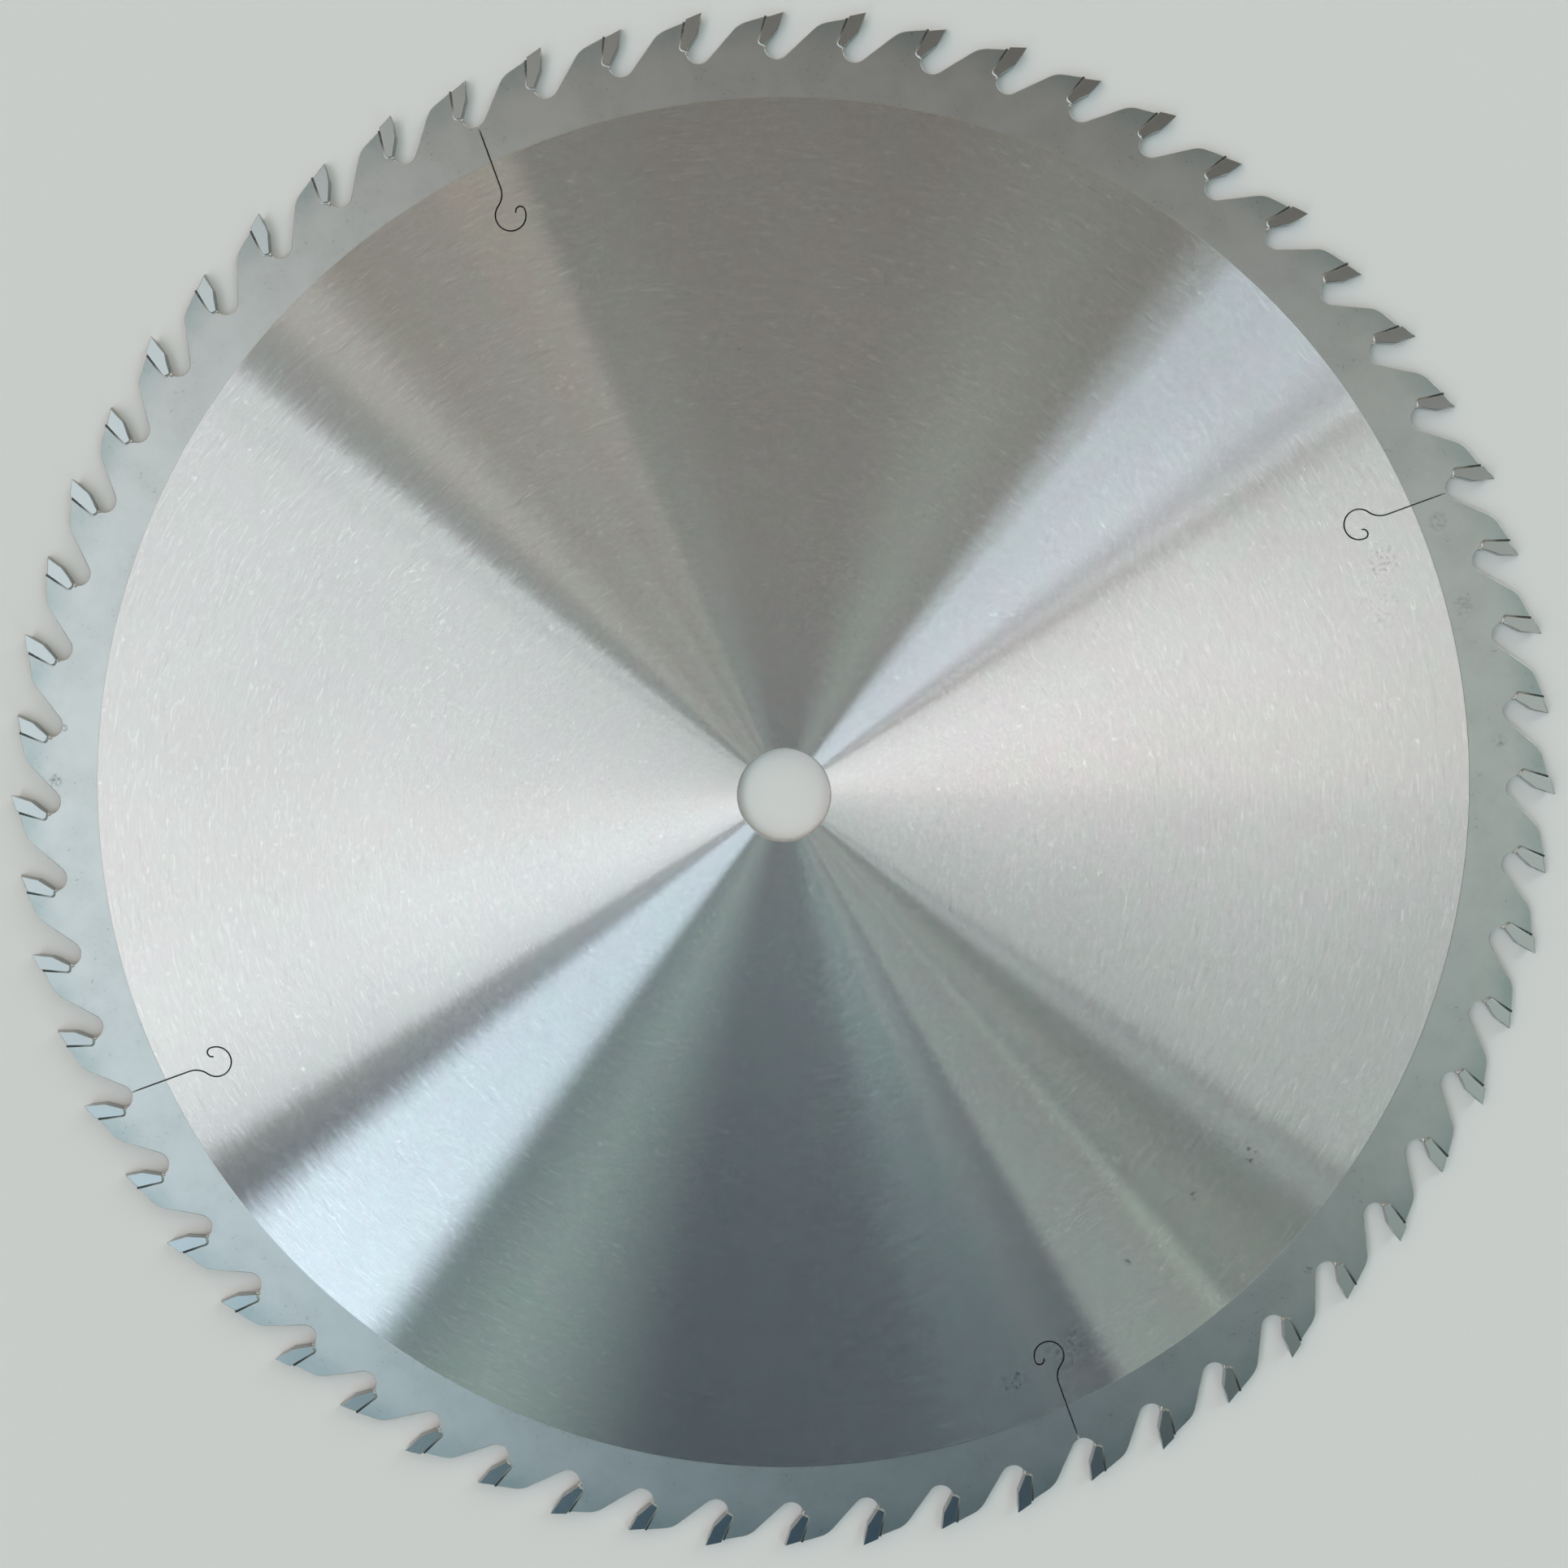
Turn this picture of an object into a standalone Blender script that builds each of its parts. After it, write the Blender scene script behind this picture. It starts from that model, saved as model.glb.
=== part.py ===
"""Carbide-tipped circular saw blade, lying flat with its bore on the Z axis.

A steel plate carries sixty brazed carbide tips. Seen from +Z the blade cuts clockwise, so each rake face
looks clockwise and each tooth's back trails anticlockwise. All sizes are in metres.
Run with: blender --background --python part.py
"""

import math

import bmesh
import bpy
from mathutils import Matrix, Vector

# Whole blade
TIP_CIRCLE_RADIUS = 0.250
TOOTH_COUNT = 60
KERF = 0.0044
PLATE_THICKNESS = 0.0032

# Bore
BORE_RADIUS = 0.015
BORE_CHAMFER = 0.0003
BORE_STEPS = 72

# Carbide tip: lengths run down its rake face from the cutting edge, thicknesses back from that face
HOOK_ANGLE = math.radians(18)
RELIEF_ANGLE = math.radians(16)
TOP_BEVEL_ANGLE = math.radians(15)
SIDE_CLEARANCE_ANGLE = math.radians(1)
BACK_CLEARANCE_ANGLE = math.radians(1.5)
TIP_LENGTH = 0.0128
TIP_THICKNESS = 0.0045
NOSE_LENGTH = 0.0060
NOSE_THICKNESS = 0.0023
HEEL_RADIUS = 0.0010
HEEL_STEPS = 4

# Seat: the braze joint between tip and plate
BRAZE_GAP = 0.0003
FUSED_OVERLAP = 0.0002
FUSED_TOOTH = TOOTH_COUNT - 1

# Gullet ahead of each tip, and the tooth's back behind it
GULLET_RADIUS = 0.0040
GULLET_STEPS = 11
FLANK_ANGLE = math.radians(43.3)
LAND_DROP = 0.0006
HUMP_RADIUS = 0.0090
HUMP_STEPS = 6

# Expansion slots, cut from a gullet's floor to a loop and a curl
SLOT_COUNT = 4
SLOT_FIRST_TOOTH = 4
SLOT_WIDTH = 0.0005
SLOT_LEAN = math.radians(4)
SLOT_REACH = 0.0337
SLOT_SIDE_STEP = 0.0021
SLOT_BEND_RADIUS = 0.0065
SLOT_BEND_STEPS = 6
SLOT_LOOP_RADIUS = 0.0049
SLOT_LOOP_END = math.radians(270)
SLOT_LOOP_STEPS = 22
SLOT_CURL_RADIUS = 0.0015
SLOT_CURL_SWEEP = math.radians(170)
SLOT_CURL_STEPS = 10
SLOT_END_STEPS = 4

# How far a cutter or a rough blank runs past what it trims
OVERRUN = 0.001
WELD = 0.000001
SMOOTH_ANGLE = math.radians(30)

PITCH = 2 * math.pi / TOOTH_COUNT

# Tooth zero lies on the +X axis: x is radial and y runs anticlockwise round the rim
CUTTING_EDGE = Vector((TIP_CIRCLE_RADIUS, 0))
RAKE_DOWN = Vector((-math.cos(HOOK_ANGLE), math.sin(HOOK_ANGLE)))
RAKE_BACK = Vector((math.sin(HOOK_ANGLE), math.cos(HOOK_ANGLE)))
RELIEF_HEADING = Vector((-math.sin(RELIEF_ANGLE), math.cos(RELIEF_ANGLE)))
RELIEF_NORMAL = Vector((math.cos(RELIEF_ANGLE), math.sin(RELIEF_ANGLE)))
INWARDS = Vector((-1, 0))
ANTICLOCKWISE = Vector((0, 1))


def on_tip(down, back):
    """A point of tooth zero's side view, from its cutting edge."""
    return CUTTING_EDGE + down * RAKE_DOWN + back * RAKE_BACK


def turned(point, angle):
    """The point turned about the bore's axis."""
    return Matrix.Rotation(angle, 2) @ point


def arc(centre, radius, start, sweep, steps):
    """Points along an arc, both ends included."""
    angles = (start + sweep * step / steps for step in range(steps + 1))
    return [centre + radius * Vector((math.cos(a), math.sin(a))) for a in angles]


def angle_of(heading):
    return math.atan2(heading.y, heading.x)


def crossing(point_a, heading_a, point_b, heading_b):
    """Where the line through A meets the line through B."""
    across = Vector((-heading_b.y, heading_b.x))
    return point_a + heading_a * ((point_b - point_a).dot(across) / heading_a.dot(across))


def fillet(start, corner, end, radius, steps):
    """Points of an arc that rounds the corner between two straight runs."""
    before = (corner - start).normalized()
    after = (end - corner).normalized()
    turn = before.angle_signed(after)
    room = min((corner - start).length, (end - corner).length)
    reach = min(radius * math.tan(abs(turn) / 2), room)
    radius = reach / math.tan(abs(turn) / 2)
    side = Vector((before.y, -before.x)) if turn > 0 else Vector((-before.y, before.x))
    centre = corner - reach * before + radius * side
    return arc(centre, radius, angle_of(-side), -turn, steps)


def gullet_centre(gap):
    """The gullet's centre: its arc runs straight into the front end of the tip's seat."""
    seat_front = on_tip(TIP_LENGTH + gap, NOSE_THICKNESS)
    return seat_front - GULLET_RADIUS * ANTICLOCKWISE


def tooth_outline(gap):
    """The plate's edge over one pitch, from the gullet of tooth zero to the flank before the next gullet."""
    flank_normal = Vector((-math.cos(FLANK_ANGLE), -math.sin(FLANK_ANGLE)))
    flank_heading = Vector((-math.sin(FLANK_ANGLE), math.cos(FLANK_ANGLE)))
    quarter = math.pi / 2
    first = math.pi + FLANK_ANGLE
    centre = gullet_centre(BRAZE_GAP)
    gullet = arc(centre, GULLET_RADIUS, first, quarter - first, GULLET_STEPS)

    seat_depth = TIP_LENGTH + gap
    seat_back = TIP_THICKNESS + gap
    heel_radius = HEEL_RADIUS + gap
    heel_centre = on_tip(seat_depth - heel_radius, seat_back - heel_radius)
    heel = arc(heel_centre, heel_radius, angle_of(RAKE_DOWN), -quarter, HEEL_STEPS)
    if gap != BRAZE_GAP:
        gullet[-1] = on_tip(seat_depth, NOSE_THICKNESS)

    wedge = HOOK_ANGLE + RELIEF_ANGLE
    shoulder_down = (seat_back * math.sin(wedge) + LAND_DROP) / math.cos(wedge)
    shoulder = on_tip(shoulder_down, seat_back)

    next_gullet = turned(centre + GULLET_RADIUS * flank_normal, PITCH)
    corner = crossing(shoulder, RELIEF_HEADING, next_gullet, turned(flank_heading, PITCH))
    hump = fillet(shoulder, corner, next_gullet, HUMP_RADIUS, HUMP_STEPS)
    return gullet + heel + [shoulder] + hump


def plate_outline():
    """The whole rim of the plate, with its seats."""
    points = []
    for tooth in range(TOOTH_COUNT):
        gap = -FUSED_OVERLAP if tooth == FUSED_TOOTH else BRAZE_GAP
        points += [turned(point, tooth * PITCH) for point in tooth_outline(gap)]
    return points


def slot_outline():
    """The closed edge of one expansion slot, from beyond the gullet's floor to the end of its curl."""
    half = SLOT_WIDTH / 2
    gullet = gullet_centre(BRAZE_GAP)
    heading = Vector((-math.cos(SLOT_LEAN), math.sin(SLOT_LEAN)))
    aside = Vector((math.sin(SLOT_LEAN), math.cos(SLOT_LEAN)))
    mouth = gullet + GULLET_RADIUS * INWARDS
    loop_centre = gullet + SLOT_REACH * INWARDS + SLOT_SIDE_STEP * ANTICLOCKWISE

    # The bend touches the straight run on one side and the loop on the other
    offset = mouth + SLOT_BEND_RADIUS * aside - loop_centre
    spread = SLOT_BEND_RADIUS + SLOT_LOOP_RADIUS
    along = offset.dot(heading)
    run = -along - math.sqrt(along * along - offset.length_squared + spread * spread)
    bend_centre = mouth + run * heading + SLOT_BEND_RADIUS * aside
    loop_start = angle_of(bend_centre - loop_centre)
    bend_start = angle_of(-aside)
    bend_sweep = loop_start + math.pi - (bend_start + 2 * math.pi)
    curl_centre = loop_centre - (SLOT_LOOP_RADIUS - SLOT_CURL_RADIUS) * ANTICLOCKWISE
    curl_end = SLOT_LOOP_END + SLOT_CURL_SWEEP

    def edge(side):
        """One side of the slot, half its width from the middle line."""
        start = mouth - OVERRUN * heading + side * aside
        bend = arc(bend_centre, SLOT_BEND_RADIUS - side, bend_start, bend_sweep, SLOT_BEND_STEPS)
        loop_sweep = SLOT_LOOP_END - loop_start
        loop = arc(loop_centre, SLOT_LOOP_RADIUS + side, loop_start, loop_sweep, SLOT_LOOP_STEPS)
        curl = arc(curl_centre, SLOT_CURL_RADIUS + side, SLOT_LOOP_END, SLOT_CURL_SWEEP, SLOT_CURL_STEPS)
        return [start] + bend + loop[1:] + curl[1:]

    end = curl_centre + SLOT_CURL_RADIUS * Vector((math.cos(curl_end), math.sin(curl_end)))
    cap = arc(end, half, curl_end, math.pi, SLOT_END_STEPS)
    return edge(half) + cap[1:-1] + edge(-half)[::-1]


def tip_outline():
    """The tip's side view before its top is ground, run out past the cutting edge."""
    rake_foot = TIP_LENGTH - NOSE_LENGTH
    blank_top = -OVERRUN
    heel_centre = on_tip(TIP_LENGTH - HEEL_RADIUS, TIP_THICKNESS - HEEL_RADIUS)
    heel = arc(heel_centre, HEEL_RADIUS, angle_of(RAKE_DOWN), -math.pi / 2, HEEL_STEPS)
    front = [on_tip(blank_top, 0), on_tip(rake_foot, 0), on_tip(TIP_LENGTH, NOSE_THICKNESS)]
    return front + heel + [on_tip(blank_top, TIP_THICKNESS)]


def collection(name):
    made = bpy.data.collections.new(name)
    bpy.context.scene.collection.children.link(made)
    return made


def material(name, colour, roughness, metallic):
    made = bpy.data.materials.new(name)
    made.use_nodes = True
    shader = made.node_tree.nodes["Principled BSDF"]
    shader.inputs["Base Color"].default_value = (*colour, 1)
    shader.inputs["Roughness"].default_value = roughness
    shader.inputs["Metallic"].default_value = metallic
    return made


def flat_solid(name, outline, half_thickness, into):
    """An outline of the XY plane, filled, given its thickness and made a closed mesh."""
    curve = bpy.data.curves.new(name, "CURVE")
    curve.dimensions = "2D"
    curve.fill_mode = "BOTH"
    curve.extrude = half_thickness
    spline = curve.splines.new("POLY")
    spline.points.add(len(outline) - 1)
    for point, place in zip(spline.points, outline):
        point.co = (place.x, place.y, 0, 1)
    spline.use_cyclic_u = True
    drawn = bpy.data.objects.new(name + "_curve", curve)
    bpy.context.scene.collection.objects.link(drawn)
    graph = bpy.context.evaluated_depsgraph_get()
    mesh = bpy.data.meshes.new_from_object(drawn.evaluated_get(graph))
    bpy.data.objects.remove(drawn)
    bpy.data.curves.remove(curve)
    mesh.name = name
    shell = bmesh.new()
    shell.from_mesh(mesh)
    bmesh.ops.remove_doubles(shell, verts=shell.verts, dist=WELD)
    bmesh.ops.recalc_face_normals(shell, faces=shell.faces)
    shell.to_mesh(mesh)
    shell.free()
    solid = bpy.data.objects.new(name, mesh)
    into.objects.link(solid)
    return solid


def grind(mesh, place, normal):
    """Grinds a flat face: all that lies beyond the plane goes, and the cut is closed."""
    shell = bmesh.new()
    shell.from_mesh(mesh)
    everything = shell.verts[:] + shell.edges[:] + shell.faces[:]
    cut = bmesh.ops.bisect_plane(
        shell, geom=everything, dist=WELD, plane_co=place, plane_no=normal, clear_outer=True
    )
    rim = [piece for piece in cut["geom_cut"] if isinstance(piece, bmesh.types.BMEdge)]
    bmesh.ops.contextual_create(shell, geom=rim)
    bmesh.ops.recalc_face_normals(shell, faces=shell.faces)
    shell.to_mesh(mesh)
    shell.free()


def tip_blank(name, high_side, into):
    """A tip ground on its top and both sides. high_side is 1 where the top rises to +Z, -1 to -Z."""
    tip = flat_solid(name, tip_outline(), KERF / 2 + OVERRUN, into)
    tip.data.materials.clear()
    side_fall = RAKE_DOWN * math.tan(SIDE_CLEARANCE_ANGLE) + RAKE_BACK * math.tan(BACK_CLEARANCE_ANGLE)
    for side in (1, -1):
        corner = CUTTING_EDGE.to_3d() + Vector((0, 0, side * KERF / 2))
        grind(tip.data, corner, side_fall.to_3d() + Vector((0, 0, side)))
    peak = CUTTING_EDGE.to_3d() + Vector((0, 0, high_side * KERF / 2))
    bevel = Vector((0, 0, -high_side * math.tan(TOP_BEVEL_ANGLE)))
    grind(tip.data, peak, RELIEF_NORMAL.to_3d() + bevel)
    return tip


def round_off(mesh):
    mesh.shade_smooth()
    mesh.set_sharp_from_angle(angle=SMOOTH_ANGLE)


def bore_cutter(into):
    """The bore and its two chamfers, turned as one cutter."""
    face = PLATE_THICKNESS / 2
    top = face + OVERRUN
    mouth = BORE_RADIUS + BORE_CHAMFER + OVERRUN
    waist = face - BORE_CHAMFER
    profile = [(0, top), (mouth, top), (BORE_RADIUS, waist), (BORE_RADIUS, -waist), (mouth, -top), (0, -top)]
    mesh = bpy.data.meshes.new("bore_cutter")
    line = bmesh.new()
    dots = [line.verts.new((radius, 0, height)) for radius, height in profile]
    for near, far in zip(dots, dots[1:]):
        line.edges.new((near, far))
    line.to_mesh(mesh)
    line.free()
    cutter = bpy.data.objects.new("bore_cutter", mesh)
    into.objects.link(cutter)
    screw = cutter.modifiers.new("turn", "SCREW")
    screw.steps = BORE_STEPS
    screw.render_steps = BORE_STEPS
    screw.use_merge_vertices = True
    screw.merge_threshold = WELD
    return cutter


def cut_or_join(carrier, other, operation):
    step = carrier.modifiers.new(other.name, "BOOLEAN")
    step.operation = operation
    step.object = other
    step.solver = "EXACT"


def hide(cutter):
    cutter.hide_render = True
    cutter.display_type = "WIRE"


def build_plate(parts, cutters, steel, high_tip):
    """The plate with its bore and slots, and the one tip that is joined to it."""
    plate = flat_solid("saw_plate", plate_outline(), PLATE_THICKNESS / 2, parts)
    plate.data.materials.clear()
    plate.data.materials.append(steel)
    bore = bore_cutter(cutters)
    hide(bore)
    cut_or_join(plate, bore, "DIFFERENCE")
    for count in range(SLOT_COUNT):
        slot = flat_solid(f"slot_cutter_{count + 1}", slot_outline(), PLATE_THICKNESS / 2 + OVERRUN, cutters)
        tooth = SLOT_FIRST_TOOTH + count * TOOTH_COUNT / SLOT_COUNT
        slot.rotation_euler.z = tooth * PITCH
        hide(slot)
        cut_or_join(plate, slot, "DIFFERENCE")
    joined = bpy.data.objects.new("joined_tip", high_tip.data)
    cutters.objects.link(joined)
    joined.rotation_euler.z = FUSED_TOOTH * PITCH
    hide(joined)
    cut_or_join(plate, joined, "UNION")
    return plate


def build():
    for old in list(bpy.data.objects):
        bpy.data.objects.remove(old)
    parts = collection("circular_saw_blade")
    cutters = collection("cutters")
    blade = bpy.data.objects.new("circular_saw_blade", None)
    parts.objects.link(blade)

    steel = material("plate_steel", (0.55, 0.56, 0.55), 0.38, 1)
    carbide = material("tungsten_carbide", (0.32, 0.33, 0.34), 0.30, 1)

    # Even teeth rise to +Z at the cutting edge, odd teeth to -Z
    blanks = [tip_blank("tip_blank_even", 1, cutters), tip_blank("tip_blank_odd", -1, cutters)]
    for blank in blanks:
        blank.data.materials.append(carbide)
        round_off(blank.data)
        hide(blank)

    plate = build_plate(parts, cutters, steel, blanks[FUSED_TOOTH % 2])
    plate.parent = blade
    for tooth in range(TOOTH_COUNT):
        if tooth == FUSED_TOOTH:
            continue
        tip = bpy.data.objects.new(f"carbide_tip_{tooth + 1:02d}", blanks[tooth % 2].data)
        parts.objects.link(tip)
        tip.rotation_euler.z = tooth * PITCH
        tip.parent = blade


build()
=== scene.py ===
"""Dresses a carbide-tipped circular saw blade: its ground plate, brazed tips and a plain studio.

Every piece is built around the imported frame, in metres, with the bore on the Z axis. Seen from +Z the blade
cuts clockwise. The plate and the tips start as merged copies of their solids, which keeps them in place.
"""

import math

import bmesh
import bpy
from bpy.props import FloatProperty, FloatVectorProperty, PointerProperty
from mathutils import Matrix, Vector


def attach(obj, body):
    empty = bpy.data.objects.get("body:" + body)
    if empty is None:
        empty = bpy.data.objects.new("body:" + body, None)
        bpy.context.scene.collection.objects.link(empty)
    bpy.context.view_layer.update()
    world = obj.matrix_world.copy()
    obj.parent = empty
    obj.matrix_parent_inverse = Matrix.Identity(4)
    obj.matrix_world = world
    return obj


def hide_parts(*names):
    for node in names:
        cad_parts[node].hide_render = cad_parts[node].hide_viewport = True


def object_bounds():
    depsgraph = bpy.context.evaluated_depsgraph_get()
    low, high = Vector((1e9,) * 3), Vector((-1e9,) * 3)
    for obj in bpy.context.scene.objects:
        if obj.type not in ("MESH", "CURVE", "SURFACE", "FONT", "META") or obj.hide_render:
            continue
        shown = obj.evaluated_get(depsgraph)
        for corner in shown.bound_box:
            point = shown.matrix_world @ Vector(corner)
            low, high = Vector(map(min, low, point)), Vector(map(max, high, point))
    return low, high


bl_info = {
    "name": "Circular Saw Blade",
    "version": (1, 0, 0),
    "blender": (4, 5, 0),
    "location": "View3D > Sidebar > Saw Blade",
    "description": "Builds the ground plate, carbide tips, braze seams and studio of a circular saw blade",
    "category": "Add Mesh",
}

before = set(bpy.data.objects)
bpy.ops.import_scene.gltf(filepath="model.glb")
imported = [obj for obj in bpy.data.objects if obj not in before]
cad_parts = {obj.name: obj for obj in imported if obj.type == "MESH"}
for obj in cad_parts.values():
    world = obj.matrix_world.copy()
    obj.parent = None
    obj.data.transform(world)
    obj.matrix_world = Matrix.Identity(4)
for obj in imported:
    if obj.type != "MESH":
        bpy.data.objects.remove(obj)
CAD_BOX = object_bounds()

TIP_NODES = sorted(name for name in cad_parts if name.startswith("carbide_tip_"))
PLATE_NODE = "saw_plate"
BODY = "root"
TOOTH_COUNT = len(TIP_NODES) + 1
PITCH = 2 * math.pi / TOOTH_COUNT
TIP_CIRCLE_RADIUS = CAD_BOX[1].x
REST_HEIGHT = CAD_BOX[0].z

# Corners closer than this are one, and faces nearer in line than this are one
WELD = 0.000001
COPLANAR = math.radians(0.05)

# Folds steeper than this stay sharp, and faces smaller than this, in square metres, are shaded smooth
SHARP = math.radians(35)
FLAT_AREA = 0.000003

# The plate is made from the quarter that starts at this tooth, because it holds no fused tip. Only its two
# flat faces have more corners than a wall can have, and a circle is cut into them in steps of this angle.
QUARTERS = 4
CLEAN_QUARTER_START = 11 + 1 / 3
MOST_WALL_CORNERS = 50
ARC_STEP = math.radians(0.5)

# The bore and its chamfers lie inside the first radius, and every gullet lies outside the second
BORE_ZONE = 0.020
GULLET_ZONE = 0.230

# A bevelled face leans at least this much towards the flat faces: the height of its normal
CHAMFER_RISE = 0.3

# The solder: the steps of its bend round a heel and the sides and rings of its drops, then how narrow the
# drops are for their length, how small the smallest is, how much they vary, and a step of the golden
# section, which gives each tooth a size of its own
HEEL_STEPS = 6
DROP_SIDES = 20
DROP_RINGS = 14
DROP_WIDTH_SHARE = 0.62
LEAST_DROP_SHARE = 0.75
DROP_RANGE_SHARE = 0.5
GOLDEN_SHARE = 0.618

FLOOR_RADIUS = 8.0
FLOOR_SIDES = 96


# Sizes and colours that a user would change


class BladeSizes(bpy.types.PropertyGroup):
    """Sizes of the finer forms that the solids leave out, and of the tip's seat."""

    rim_chamfer: FloatProperty(
        name="Rim chamfer",
        description="Width of the broken edge round the teeth and gullets",
        default=0.00022,
        unit="LENGTH",
    )
    tip_chamfer: FloatProperty(
        name="Tip chamfer",
        description="Width of the honed edges of a carbide tip",
        default=0.00016,
        unit="LENGTH",
    )
    finish_radius: FloatProperty(
        name="Finish radius",
        description="Radius at which the ground centre ends and the blasted rim starts",
        default=0.2222,
        unit="LENGTH",
    )
    hook_angle: FloatProperty(
        name="Hook angle",
        description="Lean of the rake face from the radius",
        default=math.radians(18),
        unit="ROTATION",
    )
    tip_length: FloatProperty(
        name="Tip length",
        description="Length of a tip down its rake face",
        default=0.0128,
        unit="LENGTH",
    )
    tip_thickness: FloatProperty(
        name="Tip thickness",
        description="Thickness of a tip behind its rake face",
        default=0.0045,
        unit="LENGTH",
    )
    nose_thickness: FloatProperty(
        name="Nose thickness",
        description="How far behind the rake face the foot of a tip starts",
        default=0.0023,
        unit="LENGTH",
    )
    heel_radius: FloatProperty(
        name="Heel radius",
        description="Radius of a tip's heel",
        default=0.0010,
        unit="LENGTH",
    )
    shoulder_width: FloatProperty(
        name="Shoulder width",
        description="Width of the step where the ground centre ends",
        default=0.00016,
        unit="LENGTH",
    )
    rim_relief: FloatProperty(
        name="Rim relief",
        description="How far the blasted rim band lies below the ground centre",
        default=0.00004,
        unit="LENGTH",
    )
    land_depth: FloatProperty(
        name="Land depth",
        description="How far down the tip's back the plate starts",
        default=0.0040,
        unit="LENGTH",
    )
    seam_width: FloatProperty(
        name="Seam width",
        description="Width of the brazed joint between tip and plate",
        default=0.0003,
        unit="LENGTH",
    )
    seam_fillet: FloatProperty(
        name="Seam fillet",
        description="How far the solder spreads over the plate's face",
        default=0.00014,
        unit="LENGTH",
    )
    solder_drop: FloatProperty(
        name="Solder drop",
        description="Half length of the drop at the gullet end of the seam",
        default=0.0011,
        unit="LENGTH",
    )
    drop_height: FloatProperty(
        name="Drop height",
        description="How far that drop stands over the plate's face",
        default=0.00050,
        unit="LENGTH",
    )
    seam_flare: FloatProperty(
        name="Seam flare",
        description="How much wider the seam is at the outer end of the tip's back",
        default=0.00030,
        unit="LENGTH",
    )


class SteelFinish(bpy.types.PropertyGroup):
    """Colours and grain of the plate."""

    ground_colour: FloatVectorProperty(
        name="Ground colour",
        description="Colour of the circularly ground centre",
        subtype="COLOR",
        default=(0.505, 0.500, 0.490),
    )
    rim_colour: FloatVectorProperty(
        name="Rim colour",
        description="Colour of the blasted rim band",
        subtype="COLOR",
        default=(0.430, 0.445, 0.440),
    )
    tooth_colour: FloatVectorProperty(
        name="Tooth colour",
        description="Colour of the teeth, which the brazing has darkened",
        subtype="COLOR",
        default=(0.300, 0.350, 0.350),
    )
    edge_colour: FloatVectorProperty(
        name="Edge colour",
        description="Colour of the cut walls of teeth, gullets and slots",
        subtype="COLOR",
        default=(0.350, 0.358, 0.358),
    )
    # Painted highlight: the broken edges get a lighter colour than the steel, for the bright line that they
    # catch
    edge_highlight_colour: FloatVectorProperty(
        name="Bright colour",
        description="Colour of the broken edges round the teeth and gullets",
        subtype="COLOR",
        default=(0.667, 0.675, 0.675),
    )
    stain_colour: FloatVectorProperty(
        name="Stain colour",
        description="Colour of corrosion specks and oil smears",
        subtype="COLOR",
        default=(0.15, 0.165, 0.16),
    )
    ground_roughness: FloatProperty(
        name="Ground roughness",
        description="Roughness of the ground centre, before its grain stretches it",
        default=0.10,
        subtype="FACTOR",
    )
    rim_roughness: FloatProperty(
        name="Rim roughness",
        description="Roughness of the blasted rim band",
        default=0.31,
        subtype="FACTOR",
    )
    groove_tilt: FloatProperty(
        name="Groove tilt",
        description="Lean of the fine grinding grooves' flanks, as a slope",
        default=0.26,
    )
    dash_waver: FloatProperty(
        name="Dash waver",
        description="How far the wider dashes of the grinding stray from true circles, as a slope",
        default=0.004,
    )
    groove_waver: FloatProperty(
        name="Groove waver",
        description="How far the grooves stray from true circles, as a slope",
        default=0.006,
    )


class TipFinish(bpy.types.PropertyGroup):
    """Colours of the carbide and of the solder."""

    carbide_colour: FloatVectorProperty(
        name="Carbide colour",
        description="Colour of the ground tungsten carbide",
        subtype="COLOR",
        default=(0.365, 0.385, 0.385),
    )
    carbide_roughness: FloatProperty(
        name="Carbide roughness",
        description="Roughness of the ground carbide",
        default=0.22,
        subtype="FACTOR",
    )
    solder_colour: FloatVectorProperty(
        name="Solder colour",
        description="Colour of the bright silver solder",
        subtype="COLOR",
        default=(0.667, 0.658, 0.617),
    )
    # Flux and painted shade: the seam darkens up the tip's back, where the proud tip shades it
    flux_and_shade_colour: FloatVectorProperty(
        name="Flux colour",
        description="Colour of the solder where flux has darkened it",
        subtype="COLOR",
        default=(0.070, 0.080, 0.080),
    )


class StudioSetup(bpy.types.PropertyGroup):
    """Camera and floor."""

    lens: FloatProperty(
        name="Lens",
        description="Focal length on a sensor 36 mm wide",
        default=52.2,
        unit="CAMERA",
    )
    camera_place: FloatVectorProperty(
        name="Camera place",
        description="Where the camera stands",
        subtype="TRANSLATION",
        default=(-0.0026, 0.0486, 0.7365),
    )
    camera_tilt: FloatProperty(
        name="Camera tilt",
        description="Lean of the camera's axis from straight down",
        default=math.radians(-3.513),
        unit="ROTATION",
    )
    camera_sway: FloatProperty(
        name="Camera sway",
        description="Turn of the camera's axis to the side",
        default=math.radians(-0.2),
        unit="ROTATION",
    )
    floor_colour: FloatVectorProperty(
        name="Floor colour",
        description="Colour of the pale floor",
        subtype="COLOR",
        default=(0.95, 0.95, 0.95),
    )


# Pieces


def copy_of(node):
    """A copy of a solid, with its corners merged and its flat faces whole."""
    shell = bmesh.new()
    shell.from_mesh(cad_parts[node].data)
    bmesh.ops.remove_doubles(shell, verts=shell.verts, dist=WELD)
    bmesh.ops.dissolve_limit(shell, angle_limit=COPLANAR, verts=shell.verts, edges=shell.edges)
    return shell


def is_level(face):
    """True for a face that looks straight up or down."""
    return abs(face.normal.z) > math.cos(SHARP)


def fold_of(edge):
    """The angle between the two faces of an edge."""
    return edge.calc_face_angle(0)


def bevel_edges(shell, edges, width, segments):
    bmesh.ops.bevel(
        shell, geom=edges, offset=width, affect="EDGES", segments=segments, profile=0.5, material=-1
    )


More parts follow.
